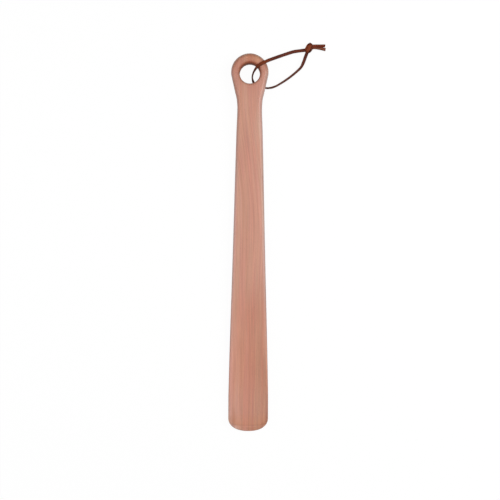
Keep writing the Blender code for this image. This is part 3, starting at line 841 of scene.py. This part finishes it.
# Zones with a tint of their own. A zone's share is the product of its ramps. Each ramp has a measure, the
# values of it where the share is 0 and 1, and its form.
LINEAR = False
SMOOTH = True
WOOD_ZONES = (
    # Painted shade on the right edge at the tip
    ("right corner of the tip, painted shade", (0.86, 0.86, 0.88),
     (("edge", 0.0052, 0.0022, LINEAR), ("x", 0.008, 0.016, LINEAR), ("y", -0.150, -0.180, LINEAR))),
    # A painted highlight along the left edge at the tip
    ("left corner of the tip, painted highlight", (1.10, 1.24, 1.34),
     (("edge", 0.0055, 0.0020, LINEAR), ("x", -0.008, -0.015, LINEAR), ("y", -0.160, -0.184, LINEAR))),
    # Darker towards the end of the blade
    ("end of the blade, darker", (0.95, 0.97, 0.97),
     (("y", -0.150, -0.180, LINEAR),)),
    # Painted shade, warmer, where the tip curves up before the crease of its bevel
    ("wood before the crease, painted shade", (0.99, 0.94, 0.84),
     (("before_crease", 0.0130, 0.0020, LINEAR), ("before_crease", -0.0005, 0.0, LINEAR))),
    # Painted shade in the crease
    ("crease, painted shade", (0.90, 0.88, 0.86),
     (("off_crease", 0.0011, 0.0003, LINEAR),)),
    # A painted highlight on the bevel
    ("bevel, painted highlight", (1.04, 1.05, 1.02),
     (("before_crease", 0.0, -0.0010, LINEAR),)),
    # The ring darker all over
    ("ring, darker", (0.919, 0.847, 0.838),
     (("y", 0.145, 0.178, SMOOTH),)),
    # Painted shade on the outer rounding of the ring's end
    ("outside of the ring's end, painted shade", (0.80, 0.86, 0.85),
     (("radius", 0.0168, 0.0190, SMOOTH), ("beyond_eye", 0.001, 0.009, LINEAR))),
    # A painted sheen on the ring's outer right edge
    ("outside of the ring on the right, painted sheen", (1.10, 1.26, 1.28),
     (("x", 0.0155, 0.0180, LINEAR), ("off_eye", 0.0090, 0.0040, LINEAR))),
)

# Streaks and round spots: the middle in X and Y, the scale along the horn that makes it round, its half
# width, half of its full core, and its tint
WOOD_SPOTS = (
    ((-0.0050, 0.0960), 0.2, 0.0065, 0.00130, (0.975, 0.925, 0.950)),
    ((0.0078, 0.1200), 0.2, 0.0050, 0.00100, (1.000, 1.100, 1.150)),
    ((0.0125, -0.0600), 0.2, 0.0080, 0.00160, (0.940, 0.920, 0.880)),
    ((-0.0105, -0.1780), 0.2, 0.0048, 0.00096, (0.940, 0.880, 0.900)),
    ((0.0080, EYE_Y + 0.0145), 1.0, 0.0065, 0.00150, (1.126, 1.288, 1.162)),
    ((0.0, EYE_Y + 0.0165), 1.0, 0.0065, 0.00150, (1.000, 0.973, 0.820)),
)


def wood_measures(graph):
    """Where each point of the horn lies and faces, by the names that the looks of the wood use."""
    coordinates = graph.node("ShaderNodeTexCoord")
    place = coordinates.outputs["Object"]
    x, y, z = graph.separated(place)
    beyond_eye = graph.maths("SUBTRACT", y, EYE_Y)
    level = graph.vector_maths("MULTIPLY", place, (1.0, 1.0, 0.0))
    crease = graph.maths("MULTIPLY_ADD", graph.product(x, x), CREASE_CURVE, CREASE_Y)
    before_crease = graph.maths("SUBTRACT", y, crease)
    _, along, up = graph.separated(coordinates.outputs["Normal"])
    return {
        "place": place,
        "x": x,
        "y": y,
        "z": z,
        "edge": graph.node("ShaderNodeAttribute", attribute_name="edge").outputs["Fac"],
        "radius": graph.distance(level, (0.0, EYE_Y, 0.0)),
        "beyond_eye": beyond_eye,
        "off_eye": graph.maths("ABSOLUTE", beyond_eye),
        "before_crease": before_crease,
        "off_crease": graph.maths("ABSOLUTE", before_crease),
        "facing_along": graph.maths("ABSOLUTE", along),
        "facing_up": graph.maths("ABSOLUTE", up),
    }


def wood_grain(graph, at):
    """The noises of the grain, which leans and sways along the horn."""
    lean = graph.spread(at["y"], *LEAN_PLACES, *LEAN, smooth=True)
    sway = graph.product(graph.noises(at["place"], SWAY_NOISES)["sway"], SWAY_REACH)
    across = graph.maths("ADD", graph.maths("ADD", at["x"], lean), sway)
    grain = graph.node("ShaderNodeCombineXYZ", {0: across, 1: at["y"], 2: at["z"]}).outputs[0]
    return graph.noises(grain, WOOD_NOISES)


def plain_wood(graph, noises):
    """The colour of the wood by its grain alone: growth stripes, a turn of hue, fibres and dark pores."""
    broad = graph.product(noises["broad"], BROAD_WEIGHT)
    tone = graph.maths("ADD", broad, graph.product(noises["growth"], GROWTH_WEIGHT))
    colour = graph.mixed(graph.spread(tone, *LATE_TO_ROSE, smooth=True), LATE_WOOD, ROSE_WOOD)
    colour = graph.mixed(graph.spread(tone, *ROSE_TO_PALE, smooth=True), colour, PALE_WOOD)
    hue = graph.mixed(graph.spread(noises["hue"], *COOL_TO_WARM), COOL_TINT, WARM_TINT)
    light = graph.product(
        graph.spread(noises["fine"], *NOISE_RANGE, *FINE_LIGHT),
        graph.spread(noises["fibre"], *NOISE_RANGE, *FIBRE_LIGHT),
        graph.spread(noises["pores"], *PORES, *PORE_LIGHT, smooth=True),
    )
    return graph.tinted(graph.tinted(colour, 1.0, hue), 1.0, light)


def paint_edge_sheen(graph, at, colour):
    """Painted sheen along its edges: the left one down to the tip, and the right one from the ring to the
    blade.
    """
    on_right = graph.spread(at["x"], *SHEEN_ACROSS)
    on_left = graph.maths("SUBTRACT", 1.0, on_right)
    left_ring = graph.spread(at["y"], *SHEEN_LEFT_RING, *SHEEN_LEFT_RING_SHARES)
    left = graph.maths("MAXIMUM", graph.spread(at["y"], *SHEEN_LEFT_HANDLE), left_ring)
    right_ring = graph.spread(at["y"], *SHEEN_RIGHT_RING)
    right = graph.product(right_ring, graph.spread(at["y"], *SHEEN_RIGHT_BLADE), on_right)
    sides = graph.maths("ADD", graph.product(left, on_left), right)
    reach = graph.spread(at["y"], *SHEEN_WIDENING, *SHEEN_REACH)
    near_edge = graph.spread(at["edge"], reach, SHEEN_CORE, smooth=True)
    # How much painted sheen each point gets
    edge_sheen = graph.product(near_edge, sides, graph.spread(at["y"], *SHEEN_RING_END))
    return graph.tinted(colour, edge_sheen, graph.mixed(on_right, SHEEN_LEFT_TINT, SHEEN_RIGHT_TINT))


def shade_hollow(graph, at, colour):
    """Painted shade in the hollow, warmer and darker, and most so on its right, the side turned from the
    key light.
    """
    on_right = graph.spread(at["x"], *HOLLOW_ACROSS)
    tint = graph.mixed(on_right, HOLLOW_LEFT_SHADE, HOLLOW_RIGHT_SHADE)
    return graph.tinted(colour, graph.spread(at["y"], *HOLLOW_ALONG, smooth=True), tint)


def show_end_grain(graph, at, colour):
    """Browner where the wood is cut across its grain, and all over the end of the ring."""
    by_place = graph.spread(at["y"], *END_GRAIN_ALONG, *END_GRAIN_SHARES)
    cut_across = graph.product(by_place, graph.spread(at["facing_along"], *END_GRAIN_TURN, smooth=True))
    on_ring = graph.spread(at["y"], *END_GRAIN_RING, *END_GRAIN_RING_SHARES, smooth=True)
    return graph.tinted(colour, graph.maths("MAXIMUM", cut_across, on_ring), END_GRAIN_TINT)


def shade_sides(graph, at, colour):
    """Painted shade, greyish, on the sides where they turn from facing up: least on the handle and the
    right of the ring, and most towards the tip.
    """
    towards_ring = graph.spread(at["y"], *SIDES_TO_RING, *SIDES_TO_RING_SHARES)
    towards_tip = graph.spread(at["y"], *SIDES_TO_TIP, *SIDES_TO_TIP_SHARES)
    along_limb = graph.spread(at["y"], *RIGHT_LIMB_ALONG)
    right_limb = graph.product(graph.spread(at["x"], *RIGHT_LIMB_ACROSS), along_limb, RIGHT_LIMB_SHARE)
    by_place = graph.maths("SUBTRACT", graph.maths("MAXIMUM", towards_ring, towards_tip), right_limb)
    on_side = graph.spread(at["facing_up"], *SIDES_TURN, smooth=True)
    return graph.tinted(colour, graph.product(by_place, on_side), SIDE_SHADE_TINT)


def shade_eye(graph, at, in_eye, colour):
    """Painted shade in the eye, most so towards the end of the ring, where the browner end grain of its
    wall comes in with it.
    """
    towards_end = graph.spread(at["beyond_eye"], *EYE_WALL_ALONG)
    return graph.tinted(colour, in_eye, graph.mixed(towards_end, EYE_HANDLE_SHADE, EYE_END_SHADE_AND_GRAIN))


def tint_zones(graph, at, colour):
    for _, tint, ramps in WOOD_ZONES:
        shares = [graph.spread(at[measure], start, end, smooth=form) for measure, start, end, form in ramps]
        colour = graph.tinted(colour, graph.product(*shares), tint)
    return colour


def tint_spots(graph, at, colour):
    for (x, y), squeeze, reach, core, tint in WOOD_SPOTS:
        squeezed = graph.vector_maths("MULTIPLY", at["place"], (1.0, squeeze, 0.0))
        from_middle = graph.distance(squeezed, (x, y * squeeze, 0.0))
        colour = graph.tinted(colour, graph.spread(from_middle, reach, core, smooth=True), tint)
    return colour


def make_wood():
    """Pinkish fine-grained hardwood with painted sheen on its edges, painted shade in its hollow, on its
    sides and in its eye, and darker end grain.
    """
    material = bpy.data.materials.new("wood_looks")
    graph = Graph(material)
    at = wood_measures(graph)
    noises = wood_grain(graph, at)
    in_eye = graph.spread(at["radius"], *EYE_WALL, smooth=True)
    colour = plain_wood(graph, noises)
    for change in (paint_edge_sheen, shade_hollow, show_end_grain, shade_sides, tint_zones, tint_spots):
        colour = change(graph, at, colour)
    colour = shade_eye(graph, at, in_eye, colour)

    satin = graph.spread(noises["fine"], *NOISE_RANGE, *SATIN_ROUGHNESS)
    roughness = graph.maths("ADD", satin, graph.product(in_eye, EYE_ROUGHNESS))
    fine_relief = graph.product(noises["fine"], FINE_RELIEF)
    relief = graph.maths("ADD", graph.product(noises["fibre"], FIBRE_RELIEF), fine_relief)
    relief = graph.maths("SUBTRACT", relief, graph.spread(noises["pores"], *PORE_HOLLOWS, *PORE_RELIEF))
    graph.finish_shader(colour, roughness, WOOD_SPECULAR, relief, *WOOD_RELIEF)
    return material


# Leather

# Its colours, its tints, and its noises in the same form as the wood's
SMOOTH_DARK = (0.092, 0.0180, 0.0095)
SMOOTH_LIGHT = (0.136, 0.0295, 0.0135)
ROUGH_DARK = (0.190, 0.036, 0.012)
ROUGH_LIGHT = (0.275, 0.060, 0.020)
RAW_DARK = (0.105, 0.036, 0.022)
RAW_LIGHT = (0.145, 0.052, 0.033)
RING_LEATHER = (0.185, 0.036, 0.010)
LOWER_TAIL_LEATHER = (0.190, 0.067, 0.050)
TAIL_SMOOTH_TINT = (1.50, 1.40, 1.60)
TAIL_TINT = (1.20, 1.15, 0.92)
MARGIN_TINT = (0.8875, 0.900, 0.925)
# Painted shade on the cut edges in the eye
RAW_EDGE_EYE_SHADE = (0.62, 0.52, 0.42)
KNOT_SHADE_TINT = (0.50, 0.42, 0.45)
LEATHER_NOISES = (
    ("patches", (140.0, 300.0, 300.0), 2.0, 0.5),
    ("grain", (2600.0, 2600.0, 2600.0), 2.0, 0.6),
    ("fibres", (900.0, 4200.0, 4200.0), 2.0, 0.5),
    ("creases", (1500.0, 260.0, 260.0), 1.0, 0.5),
)
PATCHES = (0.35, 0.65)
GRAIN_LIGHT = (0.90, 1.10)
CREASES = (0.62, 0.74)
CREASE_LIGHT = (1.0, 0.97)
LEATHER_ROUGHNESS = (0.50, 0.62)
LEATHER_SPECULAR = 0.10
CREASE_HOLLOWS = (0.58, 0.72)
CREASE_RELIEF = (0.0, 0.2)
LEATHER_RELIEF = (0.4, 0.00005)  # strength and height

# From where its looks start to where they are full, in stops along the strip. The stops count from 0 on the
# lace, and from about 3 and 5 on its ends.
ON_LACE = (2.0, 1.0)
ON_ENDS = (1.0, 2.0)
ON_LOWER_END = (4.0, 4.5)
RING_FIRST = (0.0425, 0.0465)
RING_LAST = (0.0640, 0.0590)
EYE_FIRST = (0.0580, 0.0640)
EYE_LAST = (0.1040, 0.0980)
KNOT_SHADE_FIRST = (0.0090, 0.0040)
KNOT_SHADE_LAST = (0.1470, 0.1530)

# The same by other measures, and the shares of two of them
TAILS = (0.0645, 0.0685)  # in X
LOWER_TAIL = (0.0645, 0.0690)  # in X
MARGIN = (0.0007, 0.0014)  # across from the strip's middle
CUT_EDGE = (0.00155, 0.00165)  # across from the strip's middle
UNDERSIDE = (-0.0003, -0.0007)  # up from the strip's middle
KNOT_TOP = (KNOT_CENTRE[0] + 0.0010, EYE_Y + KNOT_CENTRE[1] + 0.0048, KNOT_CENTRE[2] + 0.0028)
KNOT_TOP_SHADE = (0.0034, 0.0018)  # from KNOT_TOP
KNOT_SHADE_SHARE = 0.6
RING_SHARE = 0.9


def smooth_side(graph, noises, stop, x, on_tails):
    """The waxed side of the strip, worn where it lies on the ring and lighter on its tails."""
    colour = graph.mixed(graph.spread(noises["patches"], *PATCHES, smooth=True), SMOOTH_DARK, SMOOTH_LIGHT)
    colour = graph.tinted(colour, on_tails, TAIL_SMOOTH_TINT)
    on_lower_tail = graph.product(graph.spread(x, *LOWER_TAIL), graph.spread(stop, *ON_LOWER_END))
    colour = graph.mixed(on_lower_tail, colour, LOWER_TAIL_LEATHER)
    on_ring = graph.product(graph.spread(stop, *RING_FIRST), graph.spread(stop, *RING_LAST), RING_SHARE)
    return graph.mixed(on_ring, colour, RING_LEATHER)


def raw_edges(graph, noises, stop):
    """The cut edges of the strip, with painted shade on them in the eye."""
    colour = graph.mixed(graph.spread(noises["fibres"], *NOISE_RANGE), RAW_DARK, RAW_LIGHT)
    in_eye = graph.product(graph.spread(stop, *EYE_FIRST), graph.spread(stop, *EYE_LAST))
    # Painted shade on the cut edges in the eye
    return graph.tinted(colour, in_eye, RAW_EDGE_EYE_SHADE)


def knot_shade(graph, place, stop):
    """How much the knot shades the lace beside it, and the inside of its own top turn."""
    first = graph.spread(stop, *KNOT_SHADE_FIRST)
    beside = graph.maths("MAXIMUM", first, graph.spread(stop, *KNOT_SHADE_LAST))
    beside = graph.product(beside, graph.spread(stop, *ON_LACE), KNOT_SHADE_SHARE)
    return graph.maths("MAXIMUM", beside, graph.spread(graph.distance(place, KNOT_TOP), *KNOT_TOP_SHADE))


def make_leather():
    """Waxed red-brown leather: raw greyish cut edges, a lighter rough underside, and lighter tails."""
    material = bpy.data.materials.new("leather_looks")
    graph = Graph(material)
    strip = graph.node("ShaderNodeAttribute", attribute_name="strip").outputs["Vector"]
    stop, across, up = graph.separated(strip)
    off_middle = graph.maths("ABSOLUTE", across)
    place = graph.node("ShaderNodeTexCoord").outputs["Object"]
    x = graph.separated(place)[0]
    noises = graph.noises(strip, LEATHER_NOISES)
    on_tails = graph.product(graph.spread(x, *TAILS), graph.spread(stop, *ON_ENDS))

    rough_side = graph.mixed(graph.spread(noises["fibres"], *NOISE_RANGE), ROUGH_DARK, ROUGH_LIGHT)
    colour = smooth_side(graph, noises, stop, x, on_tails)
    colour = graph.mixed(graph.spread(up, *UNDERSIDE), colour, rough_side)
    colour = graph.tinted(colour, graph.spread(off_middle, *MARGIN, smooth=True), MARGIN_TINT)
    cut_edge = graph.spread(off_middle, *CUT_EDGE, smooth=True)
    colour = graph.mixed(cut_edge, colour, raw_edges(graph, noises, stop))
    colour = graph.tinted(colour, knot_shade(graph, place, stop), KNOT_SHADE_TINT)
    colour = graph.tinted(colour, on_tails, TAIL_TINT)
    grain_light = graph.spread(noises["grain"], *NOISE_RANGE, *GRAIN_LIGHT)
    crease_light = graph.spread(noises["creases"], *CREASES, *CREASE_LIGHT, smooth=True)
    colour = graph.tinted(colour, 1.0, graph.product(grain_light, crease_light))

    roughness = graph.spread(noises["grain"], *NOISE_RANGE, *LEATHER_ROUGHNESS)
    creases = graph.spread(noises["creases"], *CREASE_HOLLOWS, *CREASE_RELIEF)
    relief = graph.maths("SUBTRACT", noises["grain"], creases)
    graph.finish_shader(colour, roughness, LEATHER_SPECULAR, relief, *LEATHER_RELIEF)
    return material


# Camera, light and floor

def make_camera():
    data = bpy.data.cameras.new("camera")
    data.sensor_width = CAMERA_SENSOR
    data.lens = CAMERA_LENS
    camera = bpy.data.objects.new("camera", data)
    camera.location = CAMERA_PLACE
    camera.rotation_euler = (0.0, 0.0, CAMERA_TURN)
    bpy.context.scene.collection.objects.link(camera)
    bpy.context.scene.camera = camera


def make_softbox(name, place, side, level_share):
    """A square lamp aimed at the horn, which gives a level surface under it that share of plain light."""
    place = Vector(place)
    data = bpy.data.lights.new(name, "AREA")
    data.shape = "SQUARE"
    data.size = side
    data.energy = level_share * math.pi**2 * place.length_squared * place.length / place.z
    lamp = bpy.data.objects.new(name, data)
    lamp.location = place
    lamp.rotation_euler = (-place).to_track_quat("-Z", "Y").to_euler()
    bpy.context.scene.collection.objects.link(lamp)


def seen_directly(graph):
    """1 for rays that come from the camera or by way of a mirror or glass, and 0 for others."""
    path = graph.node("ShaderNodeLightPath").outputs
    by_mirror = graph.maths("MAXIMUM", path["Is Camera Ray"], path["Is Glossy Ray"])
    return graph.maths("MAXIMUM", by_mirror, path["Is Transmission Ray"])


def make_sky():
    world = bpy.data.worlds.new("sky")
    graph = Graph(world)
    background = graph.nodes["Background"]
    graph.put(background.inputs["Color"], (1.0, 1.0, 1.0))
    graph.put(background.inputs["Strength"], graph.spread(seen_directly(graph), 0.0, 1.0, SKY_SHARE, 1.0))
    bpy.context.scene.world = world


def make_floor():
    """A white table that looks pure white, apart from the shadows that fall on it."""
    material = bpy.data.materials.new("white_table")
    graph = Graph(material)
    graph.nodes.clear()
    paper = graph.node("ShaderNodeBsdfDiffuse", {"Color": (FLOOR_ALBEDO, FLOOR_ALBEDO, FLOOR_ALBEDO)})
    shaded = graph.node("ShaderNodeBsdfDiffuse", {"Color": (FLOOR_SHADED, FLOOR_SHADED, FLOOR_SHADED)})
    glow = graph.node("ShaderNodeEmission", {"Strength": FLOOR_GLOW})
    white = graph.node("ShaderNodeAddShader", {0: shaded.outputs[0], 1: glow.outputs[0]})
    chosen = {0: seen_directly(graph), 1: paper.outputs[0], 2: white.outputs[0]}
    surface = graph.node("ShaderNodeMixShader", chosen).outputs[0]
    graph.node("ShaderNodeOutputMaterial", {"Surface": surface})

    mesh = bmesh.new()
    bmesh.ops.create_grid(mesh, x_segments=1, y_segments=1, size=FLOOR_HALF_SIDE)
    floor = new_object("white_table", mesh, material)
    floor.location.z = -FLOOR_DROP


make_camera()
wood = make_wood()
leather = make_leather()

lace, lace_line = make_lace(leather)
knot_ends = make_knot(leather)
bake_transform(lace)
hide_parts("lace_bight", "lace_front_strand", "lace_back_strand")
for knot_end, nodes_replaced in zip(knot_ends, (("lace_knot", "lace_upper_tail"), ("lace_lower_tail",))):
    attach(knot_end, "loop")
    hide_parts(*nodes_replaced)

horn = make_horn(wood)
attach(horn, "horn")
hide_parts("horn")

for softbox in SOFTBOXES:
    make_softbox(*softbox)
make_sky()
make_floor()
bpy.context.scene.view_settings.view_transform = "Standard"
